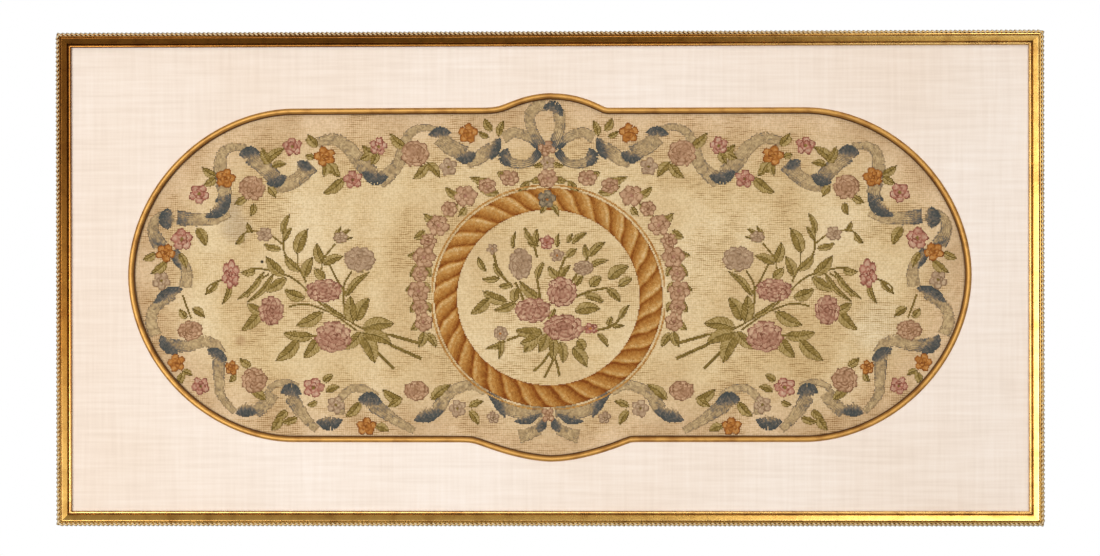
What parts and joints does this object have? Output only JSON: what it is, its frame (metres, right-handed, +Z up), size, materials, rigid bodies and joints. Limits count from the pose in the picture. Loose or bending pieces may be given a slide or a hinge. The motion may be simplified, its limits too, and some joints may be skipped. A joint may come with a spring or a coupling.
{
  "type": "framed needlepoint tapestry",
  "caption": "Wide floral needlepoint tapestry behind a pale silk mat with a shaped opening and gilt fillet, held in a narrow gilt picture frame that hangs flat on a wall.",
  "frame": {"origin": "centre of the flat back, where the picture lies against the wall", "axes": "+X along the picture's width to the viewer's right, +Z up, +Y into the wall; the needlework faces -Y"},
  "size_m": [1.184, 0.02, 0.592],
  "materials": {
    "gilt_moulding": "antique gilt, satin with worn brown hollows",
    "gilt_fillet": "gilt, satin, with a dark brown inner edge",
    "pale_silk": "slubbed pale cream silk over mat board",
    "wool_needlework": "wool stitches on canvas, matt",
    "raw_board": "plain unfinished board"
  },
  "bodies": {
    "root": {"frame_top": "gilt_moulding", "frame_bottom": "gilt_moulding", "frame_left": "gilt_moulding", "frame_right": "gilt_moulding", "gilt_fillet": "gilt_fillet", "mat": "pale_silk", "tapestry": "wool_needlework", "backing_board": "raw_board"}
  },
  "joints": []
}
